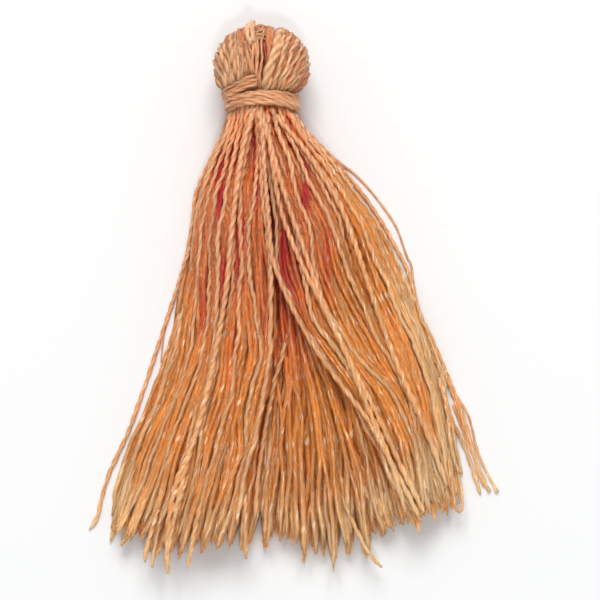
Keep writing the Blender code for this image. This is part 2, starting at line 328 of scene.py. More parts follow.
def mercerised_cotton(name, lit, gap, deep):
    """Dyed two-ply cotton: a silky thread with its lit colour on top and painted shade, more saturated, in
    its creases and gaps.

    Gap and deep are the colours of painted shade and of painted deep shade. The low colours belong to the
    lower part of the fringe, where the dye has faded to tan, and in part to the outer strands, which are
    painted paler as painted light; the end colours belong to the cut ends.
    """
    material = bpy.data.materials.new(name)
    material.use_nodes = True
    tree = material.node_tree
    tree.nodes.clear()
    uv = node(tree, "ShaderNodeUVMap", {"uv_map": "thread"}).outputs["UV"]

    def value_of(label):
        return node(tree, "ShaderNodeAttribute", {"attribute_name": label}).outputs["Fac"]

    def between(value, low, high, out_low=0.0, out_high=1.0):
        ramp = node(tree, "ShaderNodeMapRange", {"interpolation_type": "SMOOTHSTEP"}, Value=value)
        for key, number in (("From Min", low), ("From Max", high), ("To Min", out_low), ("To Max", out_high)):
            ramp.inputs[key].default_value = number
        return ramp.outputs["Result"]

    def mixed(share, first, second, blend="MIX"):
        mix = node(tree, "ShaderNodeMix", {"data_type": "RGBA", "blend_type": blend}, _0=share)
        for socket, colour in ((mix.inputs[6], first), (mix.inputs[7], second)):
            if isinstance(colour, bpy.types.NodeSocket):
                tree.links.new(colour, socket)
            else:
                socket.default_value = colour
        return mix.outputs[2]

    def maths(operation, first, second=0.0):
        return node(tree, "ShaderNodeMath", {"operation": operation}, _0=first, _1=second).outputs["Value"]

    def noise(along, around, detail):
        placed = node(tree, "ShaderNodeMapping", Vector=uv, Scale=(along, around, 1.0)).outputs["Vector"]
        flat = {"noise_dimensions": "2D"}
        return node(tree, "ShaderNodeTexNoise", flat, Vector=placed, Scale=1.0, Detail=detail).outputs["Fac"]

    streaks, ticks = noise(1.6, 14.0, 3.0), noise(2.2, 3.0, 0.0)
    glints, patches = noise(1.3, 7.0, 0.0), noise(0.55, 1.0, 1.0)
    groove, buried, wear_and_edge_light, tone, loose = map(value_of, ("groove", "buried", "wear_and_edge_light", "tone", "loose"))
    low, end = between(wear_and_edge_light, 0.0, 0.6), between(wear_and_edge_light, 0.6, 1.0)
    lit_here, gap_here, deep_here = [
        mixed(end, mixed(low, linear(upper), linear(lower)), linear(last))
        for upper, lower, last in zip((lit, gap, deep), LOW_COLOURS, END_COLOURS)
    ]
    # Painted shade: the crease between the plies and the buried parts take the gap colour, and each thread's
    # random tone leans a little towards it too.
    colour = mixed(between(groove, 0.05, 1.0, 0.0, 0.55), lit_here, gap_here)
    colour = mixed(between(tone, 0.55, 1.0, 0.0, 0.30), colour, gap_here)
    colour = mixed(between(buried, 0.08, 0.65), colour, gap_here)
    # Painted highlight: on the plainer threads the crown of each ply is painted in the lit colour, in dashes;
    # the same wave also shapes the bump.
    wave = node(tree, "ShaderNodeVectorMath", {"operation": "DOT_PRODUCT"}, _0=uv, _1=PLY_WAVE)
    ply = maths("MULTIPLY", between(maths("SINE", wave.outputs["Value"]), -0.2, 1.0), loose)
    painted_ply_highlight = maths("MULTIPLY", ply, between(ticks, 0.36, 0.60, 0.0, 0.42))
    colour = mixed(painted_ply_highlight, colour, lit_here)
    # Painted deep shade: the most buried parts take the deep colour.
    colour = mixed(between(buried, 0.65, 1.35), colour, deep_here)
    # Painted highlight: rare near-white glints, on the lower and outer fringe.
    painted_glint = maths("MULTIPLY", between(glints, 0.69, 0.79), between(wear_and_edge_light, 0.05, 0.5, 0.0, 0.6))
    colour = mixed(painted_glint, colour, linear(PAINTED_GLINT_COLOUR))
    colour = mixed(1.0, colour, between(patches, 0.3, 0.7, 0.90, 1.08), "MULTIPLY")
    colour = mixed(1.0, colour, between(streaks, 0.25, 0.75, 0.88, 1.08), "MULTIPLY")
    bump = node(tree, "ShaderNodeBump", Height=maths("ADD", streaks, ply), Strength=0.5, Distance=0.03 * MM)
    shader = node(
        tree,
        "ShaderNodeBsdfPrincipled",
        {"subsurface_method": "BURLEY"},
        Base_Color=colour,
        Roughness=between(patches, 0.45, 0.58, 0.48, 0.20),
        Normal=bump.outputs["Normal"],
        IOR=1.53,
        Subsurface_Weight=0.9,
        Subsurface_Radius=(1.0, 0.85, 0.7),
        Subsurface_Scale=0.40 * MM,
        Sheen_Weight=0.15,
        Sheen_Roughness=0.4,
        Sheen_Tint=linear("#FFE2C4"),
    )
    output = node(tree, "ShaderNodeOutputMaterial")
    tree.links.new(shader.outputs["BSDF"], output.inputs["Surface"])
    return material


# Each finish: its lit colour, its colour of painted shade for creases and gaps, and its colour of painted
# deep shade.
fringe_cotton = mercerised_cotton("mercerised_cotton_peach", "#D8A87E", "#CC6C30", "#B01E20")
head_cotton = mercerised_cotton("mercerised_cotton_folded", "#D6AA7D", "#B96838", "#A02C20")
binding_cotton = mercerised_cotton("mercerised_cotton_wound", "#CD9A72", "#B86E40", "#A03020")
tie_cotton = mercerised_cotton("mercerised_cotton_tie", "#D6AE88", "#C88C5C", "#A03020")

# %% [markdown]
# ## The fringe
#
# A few hundred turns of thread give twice as many cut strands below the binding. The upper ones show one by
# one, so they come first. They start packed in the round neck and end spread over the surface in a thin
# wide heap, so each strand keeps one seat in the bundle the whole way: a place across and a place deep in a
# unit disc. A table says what the bundle's section looks like at several drops below the binding. The seats
# are on a golden-ratio lattice, whose points keep apart however much the disc is squashed.

# %% Seats of the strands
STRAND_COUNT = 108


def strand_seats(count):
    """Places of the strands in the unit disc of the neck, from left to right."""
    golden, conjugate = (1 + math.sqrt(5)) / 2, (1 - math.sqrt(5)) / 2
    pitch = math.sqrt(math.pi / (math.sqrt(5) * count))
    first, second = np.meshgrid(np.arange(-40, 41) + 0.31, np.arange(-40, 41) + 0.17)
    across = ((first + second * golden) * pitch).ravel()
    deep = ((first + second * conjugate) * pitch).ravel()
    inside = across**2 + deep**2 <= 1
    seats = np.column_stack([across[inside], deep[inside]])
    return seats[np.argsort(seats[:, 0])]


seats = strand_seats(STRAND_COUNT)
print("strands:", len(seats))

# %% [markdown]
# Millimetres, below the binding's lower edge: where the bundle's edges are, how high the lowest, the
# outermost and the highest strands lie, and where the upper strands part in two locks. The left lock hangs
# nearly straight, and the right one fans out.

# %% Sections of the fringe
NECK_Y = -2.86
HEAD_CENTRE = 2.25
SECTIONS = (
    # drop, left, right, under, edge, crown, part_left, part_right
    (-0.80, -1.45, 1.45, 0.75, 2.25, 3.75, 0.00, 0.00),
    (0.00, -1.80, 1.76, 0.50, 2.20, 3.90, 0.03, 0.03),
    (0.90, -1.98, 2.20, 0.40, 2.00, 4.15, 0.10, 0.10),
    (1.76, -2.36, 2.90, 0.28, 1.70, 4.30, 0.20, 0.20),
    (2.64, -2.78, 3.66, 0.15, 1.40, 4.30, 0.30, 0.30),
    (4.40, -3.50, 5.00, 0.00, 0.95, 4.15, 0.48, 0.50),
    (6.20, -3.82, 6.25, -0.25, 0.60, 3.95, 0.66, 0.72),
    (8.80, -4.15, 7.55, -0.50, 0.35, 3.70, 0.85, 1.00),
    (11.4, -4.65, 8.65, -0.60, 0.20, 3.40, 0.95, 2.10),
    (13.2, -5.15, 9.35, -0.60, 0.12, 3.20, 0.90, 3.25),
    (15.0, -5.75, 9.90, -0.60, 0.05, 3.05, 0.60, 4.45),
    (18.5, -7.20, 10.4, -0.50, 0.00, 2.75, 0.10, 6.30),
    (22.0, -8.50, 11.0, -0.40, 0.00, 2.50, -0.10, 7.60),
    (26.4, -10.5, 12.4, -0.35, 0.00, 2.25, -0.60, 9.2),
)
PARTING_ROOT = 0.08
STATION_STEP = 0.4
stations = np.arange(-0.8, 26.41, STATION_STEP)


def section_rows():
    """The columns of the table, read at every station."""
    rows = np.array(SECTIONS)
    return smooth_curve(rows[:, 0], rows[:, 1:], stations).T


def bundle(seats):
    """The X and Z of every strand at every station, before they settle on each other."""
    across, deep = seats[:, 0][None, :], seats[:, 1][None, :]
    left, right, under, edge, crown, part_left, part_right = [column[:, None] for column in section_rows()]
    height = np.sqrt(1 - across**2)
    whole = left + (right - left) * (across + 1) / 2
    in_left = left + (part_left - left) * (across + 1) / (PARTING_ROOT + 1)
    in_right = part_right + (right - part_right) * (across - PARTING_ROOT) / (1 - PARTING_ROOT)
    x = whole + (np.where(across < PARTING_ROOT, in_left, in_right) - whole) * ease(deep, 0.05, 0.45)
    low = edge + (under - edge) * height
    high = edge + (crown - edge) * height
    z = low + (high - low) * (deep / height + 1) / 2
    return np.stack([x, z], axis=-1)


# %% [markdown]
# No strand hangs quite straight. Each gets its own slow wander, and a few in the top layer wander more and
# cross their neighbours. Then all strands settle: at every station, those closer than a thread's width push
# each other apart, above the surface, and each strand is kept smooth along its length. Where two swap
# sides, the push lifts one over the other, as on the real fringe. Last, the bundle is stretched to the
# outline in the table, and squeezed where the binding holds it. This takes a few seconds, where a hair
# simulation would need far longer.

# %% Wander and settle
WANDER = 0.21
STROLLERS = 0.16
SETTLING_ROUNDS = 46
# The bundle's greatest radius at drops below the binding.
SQUEEZE_DROPS = (-0.8, -0.2, 0.1, 0.5, 1.2, 2.2)
SQUEEZE_RADII = (1.48, 1.52, 1.72, 2.02, 2.70, 99.0)


def wander(places):
    """Adds each strand's own slow bends."""
    count = places.shape[1]
    far = stations[:, None]
    grown = ease(far, -0.4, 7.0) * (0.55 + 0.45 * far / 26)
    reach = np.where(rng.uniform(size=count) < STROLLERS, 2.6, 1.0) * WANDER
    reach[:6] = reach[-6:] = 0.4 * WANDER
    for wavelength, share in ((19.0, 1.0), (9.0, 0.55), (4.5, 0.32), (2.7, 0.26)):
        phase = rng.uniform(0, 2 * math.pi, count)
        places[..., 0] += grown * share * reach * np.sin(2 * math.pi * far / wavelength + phase)
    lift = np.sin(2 * math.pi * far / 11.0 + rng.uniform(0, 2 * math.pi, count))
    places[..., 1] += grown * 0.16 * lift
    return places


def settle(places, radius):
    """Pushes strands apart where they meet and keeps them above the surface and smooth."""
    resting = places.copy()
    count = places.shape[1]
    own = np.eye(count)[None] * 9
    for _ in range(SETTLING_ROUNDS):
        apart = places[:, :, None] - places[:, None, :]
        gap = np.sqrt((apart**2).sum(-1)) + own
        lacking = np.clip(2 * radius - gap, 0, None) / gap
        places = places + 0.42 * (apart * lacking[..., None]).sum(2)
        places[1:-1] = 0.8 * places[1:-1] + 0.1 * (places[:-2] + places[2:])
        places = places + 0.02 * (resting - places)
        places[..., 1] = np.maximum(places[..., 1], radius)
    return places


def fit_outline(places):
    """Stretches the bundle to the table's outline and squeezes it under the binding."""
    left, right = section_rows()[:2]
    first, last = np.quantile(places[..., 0], 0.003, axis=1), np.quantile(places[..., 0], 0.997, axis=1)
    stretch = ((right - left) / (last - first))[:, None]
    places[..., 0] = left[:, None] + (places[..., 0] - first[:, None]) * stretch
    centre = np.array([0.0, HEAD_CENTRE])
    from_centre = places - centre
    radii = np.hypot(from_centre[..., 0], from_centre[..., 1])
    allowed = np.interp(stations, SQUEEZE_DROPS, SQUEEZE_RADII)[:, None]
    return centre + from_centre * np.minimum(1, allowed / radii)[..., None]


settled = fit_outline(settle(wander(bundle(seats)), 1.1 * THREAD_RADIUS))
print("settled fringe, mm wide at the hem:", round(float(np.ptp(settled[-1, :, 0])), 1))

# %% [markdown]
# In a few places the upper strands of the real fringe stand apart, and the eye falls between them into
# orange and crimson shade. A table says where they do, and the strands beside each place are pushed a
# little aside. Later, the threads under each place are painted with that shade.

# %% Gaps between the upper strands
GAPS = (
    # middle, middle_drop, half_length, opening
    (-2.26, 4.3, 2.0, 0.1),
    (-0.33, 3.6, 1.6, 0.06),
    (0.02, 2.2, 1.6, 0.04),
    (0.66, 6.0, 2.2, 0.03),
    (2.4, 4.2, 1.2, 0.06),
    (1.22, 8.0, 2.0, 0.04),
    (1.1, 11.0, 1.5, 0.2),
    (-3.1, 11.4, 1.8, 0.07),
    (-2.1, 9.6, 1.6, 0.07),
    (-1.2, 7.6, 2.4, 0.07),
    (3.6, 8.4, 1.8, 0.05),
    (-1.6, 14.5, 2.2, 0.08),
)


def patch(x, drop, middle, middle_drop, half_width, half_length):
    """How near places are to the middle of an oval patch of the fringe: 1 in it, and 0 far off."""
    return np.exp(-(((x - middle) / half_width) ** 2) - ((drop - middle_drop) / half_length) ** 2)


def nearness(x, drop, gap):
    """How near places are to a gap."""
    middle, middle_drop, half_length, opening = gap
    return patch(x, drop, middle, middle_drop, 0.14 + opening, half_length)


def open_gaps(places):
    """Parts the upper strands where the fringe shows its depth."""
    for gap in GAPS:
        aside = np.tanh((places[..., 0] - gap[0]) / 0.12)
        places[..., 0] += gap[3] * aside * nearness(places[..., 0], stations[:, None], gap)
    return places


places = open_gaps(settled)
apart = np.sqrt(((places[:, :, None] - places[:, None, :]) ** 2).sum(-1)) + np.eye(len(seats)) * 9
print("closest strands at mid fringe, mm:", round(float(apart[30].min()), 3))

# %% [markdown]
# The fringe spreads to six times the neck's area, and the real one still shows no table through it: the
# neck holds far more threads than its surface shows. So each pair of neighbours in the neck gets two body
# threads between them, which keep to their place between the two and fill the space as they part. They lie
# a little lower, in the orange shade between the pale upper strands, which is painted into their colour, and
# are wide, loose and of the plainer section. The outer pairs get three fine threads more. Near the hem all
# gather in clumps, and those off a clump's middle are cut shorter.

# %% Threads between the strands
PITCH_OF_SEATS = math.sqrt(math.pi / len(seats))
CLUMP_SIZES = (12, 56)


def pairs_of_neighbours():
    """Neighbouring seats, but none across the top of the parting."""
    pairs = []
    for i, seat in enumerate(seats):
        for j in range(i + 1, len(seats)):
            parted = seat[0] < PARTING_ROOT <= seats[j][0] and seat[1] > 0.5 and seats[j][1] > 0.5
            if np.hypot(*(seats[j] - seat)) < 1.28 * PITCH_OF_SEATS and not parted:
                pairs.append((i, j))
    return pairs


def filling_places(pairs, nearer, lower):
    """Where the threads between strands lie: at a share of the way, and lower, most of all at the neck."""
    first, second = np.array(pairs).T
    share = (nearer + rng.uniform(-0.08, 0.08, len(pairs)))[None, :, None]
    middle = places[:, first] * (1 - share) + places[:, second] * share
    far = stations[:, None]
    bend = np.sin(2 * math.pi * far / 6.5 + rng.uniform(0, 6, len(pairs)))
    middle[..., 0] += 0.09 * ease(far, 3, 9) * bend
    sunk = lower * rng.uniform(0.6, 1.4, len(pairs)) + 0.45 * (1 - ease(far, 0.5, 6.0))
    middle[..., 1] = np.maximum(middle[..., 1] - sunk, 0.14)
    return middle


def gather_clumps(places):
    """Draws strands that end side by side towards each other over the last few millimetres."""
    order = np.argsort(places[-8, :, 0] + rng.normal(0, 0.12, places.shape[1]))
    pull = 0.66 * ease(stations, 18.5, 25.5)
    start = 0
    shorter = np.zeros(places.shape[1])
    while start < len(order):
        clump = order[start : start + int(rng.integers(*CLUMP_SIZES))]
        centre = places[:, clump, 0].mean(axis=1, keepdims=True)
        off_centre = np.abs(places[-6, clump, 0] - centre[-6])
        shorter[clump] = rng.normal(0, 0.28) + 0.8 * off_centre / (off_centre.max() + 0.1)
        places[:, clump, 0] += pull[:, None] * (centre - places[:, clump, 0])
        start += len(clump)
    return places, shorter


pairs = pairs_of_neighbours()
body = [filling_places(pairs, 0.33, 0.15), filling_places(pairs, 0.67, 0.21)]
print("strands:", len(seats), "and body strands between them:", 2 * len(pairs))

# %% [markdown]
# How deep a strand is buried decides how much shade is painted into its colour, so it is worked out once
# here: the number of strands that cover it from above, from the left, from the right and from below, and
# the least of the four. It doesn't depend on the camera, so the painted shade holds from every side.

# %% Depth among the neighbours
# The axis (0 for X, 1 for Z) and the sign of each side a strand may be open to.
SIDES = ((1, 1), (0, 1), (0, -1), (1, -1))
OUTER_COVER = 1.0
SHOWN_COVER = 2.0


def cover(places, others):
    """The least cover of each strand at each station, in strands, and the side it is open to."""
    least, open_side = [], []
    for station, around in zip(places, others):
        apart = around[None, :] - station[:, None]
        covers, side = [], np.zeros_like(station)
        for axis, sign in SIDES:
            ahead = np.clip(sign * apart[..., axis] / (2 * THREAD_RADIUS) - 0.2, 0, 1)
            beside = np.exp(-((apart[..., 1 - axis] / 0.26) ** 2))
            covers.append((ahead * beside).sum(1))
            side[:, axis] += sign * np.exp(-2.5 * covers[-1])
        least.append(np.min(covers, axis=0))
        open_side.append(side)
    return np.array(least), np.array(open_side)


structure = np.concatenate([places, *body], axis=1)
least_cover = cover(structure, structure)[0][8:].min(axis=0)
shown = least_cover < SHOWN_COVER
outer = least_cover[len(seats) : len(seats) + len(pairs)] < OUTER_COVER
outer_pairs = [pair for pair, is_outer in zip(pairs, outer) if is_outer]
fine = [filling_places(outer_pairs, nearer, 0.06) for nearer in (0.25, 0.50, 0.75)]
everything, shorter = gather_clumps(np.concatenate([structure, *fine], axis=1))
covered, opened = cover(everything, everything[:, : structure.shape[1]])
first_seats = [*range(len(seats)), *[pair[0] for pair in pairs * 2 + outer_pairs * 3]]
print("body strands that show:", int(shown[len(seats) :].sum()), "fine strands:", 3 * len(outer_pairs))

# %% [markdown]
# The ends were cut while the strands hung together, so they make an arc round the neck. Each length differs
# a little, and the lower part of each strand shows wear: its twist has loosened and its dye looks paler. The
# outer strands are painted paler too, as painted light. The ends taper, because a cut thread comes apart and
# its fibres close to a point.

# %% Cut and spin the fringe
# How far the ends reach from the neck's middle, at bearings in degrees from straight down.
HEM_BEARINGS = (-24, -16, -12, -6, 0, 4, 9, 14, 18, 24, 34)
HEM_REACHES = (24.3, 24.6, 24.9, 24.1, 23.5, 23.6, 24.6, 24.5, 23.6, 23.7, 23.4)
# Two patches of painted shade, as middle, middle_drop, half_width, half_length.
PAINTED_SHADE_AT_PARTING = (0.38, -0.10, 0.42, 0.28)
PAINTED_SHADE_PATCH = (1.3, 11.5, 1.3, 3.6)


def wear(path):
    """How faded the dye is: more towards the hem, on the right, and most of all at the cut end."""
    drop = NECK_Y - path[:, 1]
    spread = 0.45 * ease(drop, 5, 17) + 0.35 * ease(path[:, 0], 1.5, 6.0)
    travelled = lengths_along(path)
    return np.clip(spread, 0, 0.6) + 0.4 * ease(travelled, travelled[-1] - 4.5, travelled[-1] - 0.8)


def kinks(drop):
    """Small bends that the twist leaves in a strand."""
    bends = np.zeros_like(drop)
    for wavelength, size in ((4.4, 0.040), (2.6, 0.034), (1.5, 0.022)):
        wavelength = wavelength * rng.uniform(0.8, 1.25)
        bends += size * rng.uniform(0.4, 1.4) * np.sin(2 * math.pi * drop / wavelength + rng.uniform(0, 6))
    return bends * ease(drop, -0.4, 2.5)


KINDS = {
    # first drop, step, range of fullness, range of creases, how much longer the pitch is, flat
    "rope": (-0.8, RING_STEP, (0.88, 1.25), (0.55, 0.95), 1.0, 1.0),
    "body": (-0.3, 0.70, (1.05, 1.35), (0.05, 0.15), 6.0, 0.65),
    "fine": (-0.3, 0.48, (0.75, 1.00), (0.15, 0.35), 2.0, 0.75),
}


def fringe_strand(index, kind):
    """One strand, cut to length and spun."""
    start, step, fullness, creases, longer, flat = KINDS[kind]
    x, z = everything[:, index, 0], everything[:, index, 1]
    away = np.hypot(x, np.maximum(stations, 0))
    bearing = math.degrees(math.atan2(x[-10], stations[-10]))
    reach = np.interp(bearing, HEM_BEARINGS, HEM_REACHES)
    reach += np.clip(0.30 * rng.standard_t(4), -1.0, 1.1) if kind == "rope" else rng.normal(0.1, 0.18)
    reach -= shorter[index]
    end = np.interp(min(reach, away[-1] - 0.05), away[2:], stations[2:])
    at = np.linspace(start, end, 260)
    along = smooth_curve(stations, np.column_stack([x, z]), at)
    path = respaced(np.column_stack([along[:, 0], NECK_Y - at, along[:, 1]]), step)
    drop = NECK_Y - path[:, 1]
    liveliness = 0.85 if kind == "rope" else 0.4
    path[:, 0] += liveliness * kinks(drop)
    path[:, 2] = np.maximum(path[:, 2] + 0.5 * liveliness * kinks(drop), THREAD_RADIUS)
    slimmer = (1 - 0.12 * ease(drop, 1, 5)) * (1 - (0.32 if kind == "body" else 0.1) * ease(drop, 9, 20))
    radius = THREAD_RADIUS * rng.uniform(*fullness) * slimmer
    crease = rng.uniform(*creases) * (1 - 0.45 * ease(drop, 8, 17))
    point, taper = rng.uniform(0.15, 0.55), rng.uniform(0.5, 1.6)
    pitch = PLY_PITCH * rng.uniform(0.9, 1.15) * longer
    thread = spin(path, radius, pitch, crease, 0.35, point, taper, kind != "rope", flat)
    depth = np.interp(drop, stations, covered[:, index])
    # Painted shade: threads under the upper strands take at least the gap colour, more near the gaps and in a
    # patch mid-fringe, and every strand is painted deeper in the slit at the parting under the binding.
    if kind != "rope":
        depth = np.maximum(depth, 0.60 * (1 - 0.6 * ease(drop, 13, 23)))
        depth = depth + 0.9 * sum(nearness(path[:, 0], drop, gap) for gap in GAPS)
        depth = depth + 0.5 * patch(path[:, 0], drop, *PAINTED_SHADE_PATCH)
    depth = depth + patch(path[:, 0], drop, *PAINTED_SHADE_AT_PARTING)
    across, up = [np.interp(drop, stations, opened[:, index, axis]) for axis in (0, 1)]
    seat = seats[first_seats[index]][0]
    # Painted light: the outer strands are painted paler, as they hang in the light.
    edge = 0.30 * ease(seat, 0.5, 0.9) + 0.25 * ease(-seat, 0.75, 1.0)
    thread["wear_and_edge_light"] = np.clip(wear(path) + edge * ease(drop, 1.5, 5.0), 0, 1)
    return shade_by_depth(thread, depth, np.column_stack([across, 0 * up, up]))


LOCK_EDGES = (-0.42, 0.08, 0.5)
BOUNDS = (0, len(seats), structure.shape[1], everything.shape[1])
for kind, first, last in zip(KINDS, BOUNDS[:-1], BOUNDS[1:]):
    locks = [[], [], [], []]
    for index in range(first, last):
        if kind == "body" and not shown[index]:
            continue
        across = seats[first_seats[index]][0]
        locks[int(np.searchsorted(LOCK_EDGES, across))].append(fringe_strand(index, kind))
    for side, threads in zip(("left", "middle", "right", "far_right"), locks):
        name = f"fringe_{kind}_{side}"
        mesh_of_threads(name, threads, fringe_cotton)
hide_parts("hank")

# %% [markdown]
# Some strands have left the bundle. They are what tells a real fringe from a brush, so each of the 24 is
# placed one by one: five long ones run over the front, one ply stands off the right side and joins a strand
# that left earlier, some swing out on the left, some cross others low down, and single ends hang past the
# hem. Their heights come from what they lie on.

# %% Stray strands
STRAYS = (
    # radius, share of the radius left at the end, points as X and drop
    (0.19, 0.5, ((-0.33, -0.15), (-0.62, 0.7), (-0.95, 1.8), (-1.2, 3.2), (-1.43, 4.8), (-1.68, 7.0),
        (-1.95, 9.8), (-2.5, 13.0), (-3.3, 16.5), (-4.3, 20.0), (-4.9, 22.8))),
    (0.19, 0.5, ((0.44, -0.15), (0.97, 0.55), (1.62, 1.27), (2.4, 2.2), (3.25, 3.47), (4.25, 5.1),
        (5.0, 7.0), (5.95, 9.8), (7.3, 13.6), (9.0, 17.5), (10.2, 20.6))),
    (0.18, 0.5, ((-0.02, -0.15), (0.22, 1.0), (0.55, 2.1), (0.94, 3.5), (1.43, 5.1), (2.1, 7.0), (3.1, 9.8),
        (4.3, 12.6), (5.67, 15.9), (7.05, 19.2), (7.9, 22.0))),
    (0.07, 0.9, ((1.4, 0.2), (2.6, 1.25), (4.02, 2.53), (5.17, 3.41), (6.28, 4.62), (7.16, 5.84),
        (7.54, 6.55), (8.04, 7.98), (8.26, 8.42), (8.45, 9.8), (8.62, 10.6), (8.85, 11.5), (9.3, 12.6),
        (10.1, 14.6))),
    (0.13, 0.6, ((2.6, 1.2), (4.1, 2.8), (5.5, 4.4), (6.5, 5.85), (7.38, 7.39), (8.05, 8.7), (8.35, 9.8),
        (8.58, 10.6), (8.81, 11.5), (9.14, 12.0), (9.9, 13.7), (11.0, 16.4), (11.9, 19.3), (12.5, 20.8))),
    (0.08, 1.7, ((9.2, 13.1), (9.85, 14.2), (10.73, 15.6), (11.4, 16.7), (11.67, 17.6), (11.9, 18.6),
        (12.35, 19.7), (12.83, 20.6), (13.03, 21.0))),
    (0.08, 1.8, ((10.6, 16.2), (11.35, 18.2), (12.0, 19.6), (12.35, 20.5), (12.6, 20.95))),
    (0.13, 0.4, ((-4.0, 7.4), (-4.75, 9.8), (-5.45, 11.9), (-6.17, 14.1), (-6.77, 15.85), (-7.4, 17.6),
        (-8.0, 18.9), (-8.5, 20.0), (-8.95, 21.5), (-9.15, 22.4), (-9.6, 23.1))),
    (0.06, 0.8, ((-4.2, 8.4), (-4.75, 9.85), (-5.2, 11.2), (-5.5, 12.6), (-5.6, 13.8))),
    (0.19, 0.5, ((-2.5, 13.2), (-3.08, 15.86), (-3.47, 17.23), (-3.91, 18.5), (-4.46, 19.77),
        (-4.84, 20.92), (-5.08, 22.2), (-5.2, 23.5), (-5.22, 24.6), (-5.17, 25.4))),
    (0.16, 0.5, ((-3.9, 19.6), (-4.4, 21.0), (-4.85, 22.6), (-5.2, 24.2), (-5.3, 25.0))),
    (0.16, 0.4, ((-5.6, 21.5), (-6.0, 22.8), (-6.35, 24.0), (-6.45, 24.8))),
    (0.11, 0.9, ((-5.4, 21.5), (-5.7, 23.0), (-5.95, 24.2), (-6.05, 25.1))),
    (0.16, 0.3, ((-3.2, 21.0), (-3.6, 22.6), (-3.9, 24.1), (-4.07, 25.1))),
    (0.16, 0.5, ((-0.9, 21.0), (-0.92, 22.6), (-0.88, 24.6))),
    (0.14, 0.7, ((4.3, 21.0), (5.0, 22.6), (5.6, 23.8), (6.2, 24.7), (6.6, 25.1))),
    (0.13, 0.5, ((9.6, 14.2), (10.1, 15.5), (10.5, 17.0), (11.1, 18.2), (11.6, 19.5), (12.1, 21.1))),
    (0.13, 0.6, ((9.7, 14.6), (10.1, 15.9), (10.45, 17.1), (10.7, 18.4), (11.06, 20.0))),
    (0.12, 0.7, ((9.9, 15.2), (10.2, 16.4), (10.35, 17.7), (10.55, 19.0), (10.9, 19.9))),
    (0.11, 0.5, ((9.8, 13.6), (10.3, 14.9), (10.95, 16.7), (11.55, 18.3), (12.0, 19.9), (12.3, 20.7))),
    (0.1, 0.9, ((10.2, 18.9), (10.45, 20.3), (10.6, 21.4), (10.76, 22.0), (10.98, 22.0), (11.08, 21.6),
        (11.0, 20.7), (10.8, 19.8))),
    (0.16, 0.3, ((1.35, 12.2), (1.1, 13.5), (0.75, 14.6), (0.45, 16.1), (0.12, 17.8), (-0.2, 20.0),
        (-0.4, 22.5))),
    (0.17, 0.5, ((0.02, 0.4), (0.12, 2.6), (0.33, 5.4), (0.55, 7.9), (0.85, 8.85), (1.27, 9.95),
        (1.82, 11.05), (2.37, 12.1), (2.92, 13.0), (3.63, 14.0), (4.35, 15.0), (5.12, 16.0), (5.73, 16.8),
        (6.4, 18.0), (7.6, 20.2), (8.6, 22.2))),
    (0.18, 0.5, ((0.3, 0.5), (0.6, 3.0), (1.1, 5.6), (2.1, 8.2), (3.3, 10.6), (4.5, 13.0), (5.6, 15.2),
        (6.5, 17.0), (7.7, 19.6), (8.9, 22.0))),
)


def lie_on(x, drop, radius):
    """The height of a strand that lies on the others, or on the surface, at each of its points."""
    heights = []
    for across, far in zip(x, drop):
        station = everything[int(np.argmin(np.abs(stations - far)))]
        beside = np.abs(station[:, 0] - across)
        reach = radius + THREAD_RADIUS * 0.9
        touching = beside < reach
        on_top = station[touching, 1] + np.sqrt(reach**2 - beside[touching] ** 2)
        heights.append(max(on_top.max() - 0.06, radius) if touching.any() else radius)
    heights = np.array(heights)
    padded = np.concatenate([[heights[0]] * 6, heights, [heights[-1]] * 6])
    return np.convolve(padded, np.ones(13) / 13, "valid")


def stray_strand(radius, point, points):
    """One stray, which lies on what is under it, with its root among the others."""
    flat = curve_through(points, 12 * len(points))
    path = np.column_stack([flat[:, 0], NECK_Y - flat[:, 1], np.zeros(len(flat))])
    path = respaced(path, RING_STEP)
    path[:, 2] = lie_on(path[:, 0], NECK_Y - path[:, 1], radius)
    drop = NECK_Y - path[:, 1]
    path[:, 2] -= 0.35 * (1 - ease(drop - drop[0], 0.0, 1.2))
    path[:, 2] = np.maximum(path[:, 2], radius)
    thread = spin(path, radius, PLY_PITCH, 0.7 if radius > 0.1 else 0.3, 0.2, point, 0.5)
    thread["wear_and_edge_light"] = wear(path)
    thread["tone"] = 0.3
    return shade_by_depth(thread, 0.12, np.array([[0.0, 0.0, 1.0]]))


mesh_of_threads("fringe_strays", [stray_strand(*row) for row in STRAYS], fringe_cotton)

# %% [markdown]
# ## The head
#
# The head is the fold of the hank. Each thread comes out of the binding, runs up the front, turns over the
# top or round the shoulder, and comes down the back. From the front the head is a squat round, a little
# wider than high, and its threads are meridians of it. The outline and the thickness come from one formula,
# a ball whose exponent is a little over two, so the paths only need two choices: where a thread leaves the
# neck and where it crosses the outline.

# %% Shape of the head
HEAD_HALF_WIDTH = 2.52
HEAD_MIDDLE_Y = -0.35
HEAD_UP = 2.12
HEAD_DOWN = 2.75
HEAD_THICKNESS = 2.27
HEAD_POWER = 2.3
NECK_RADIUS = 1.50


def head_front(x, y, shrink=1.0):
    """How far the head's surface stands in front of its middle plane at a place in the outline."""
    up = np.where(y > HEAD_MIDDLE_Y, HEAD_UP, HEAD_DOWN) * shrink
    across = np.abs(x / (HEAD_HALF_WIDTH * shrink)) ** HEAD_POWER
    filled = across + np.abs((y - HEAD_MIDDLE_Y) / up) ** HEAD_POWER
    return HEAD_THICKNESS * shrink * np.sqrt(np.clip(1 - filled, 0, 1))


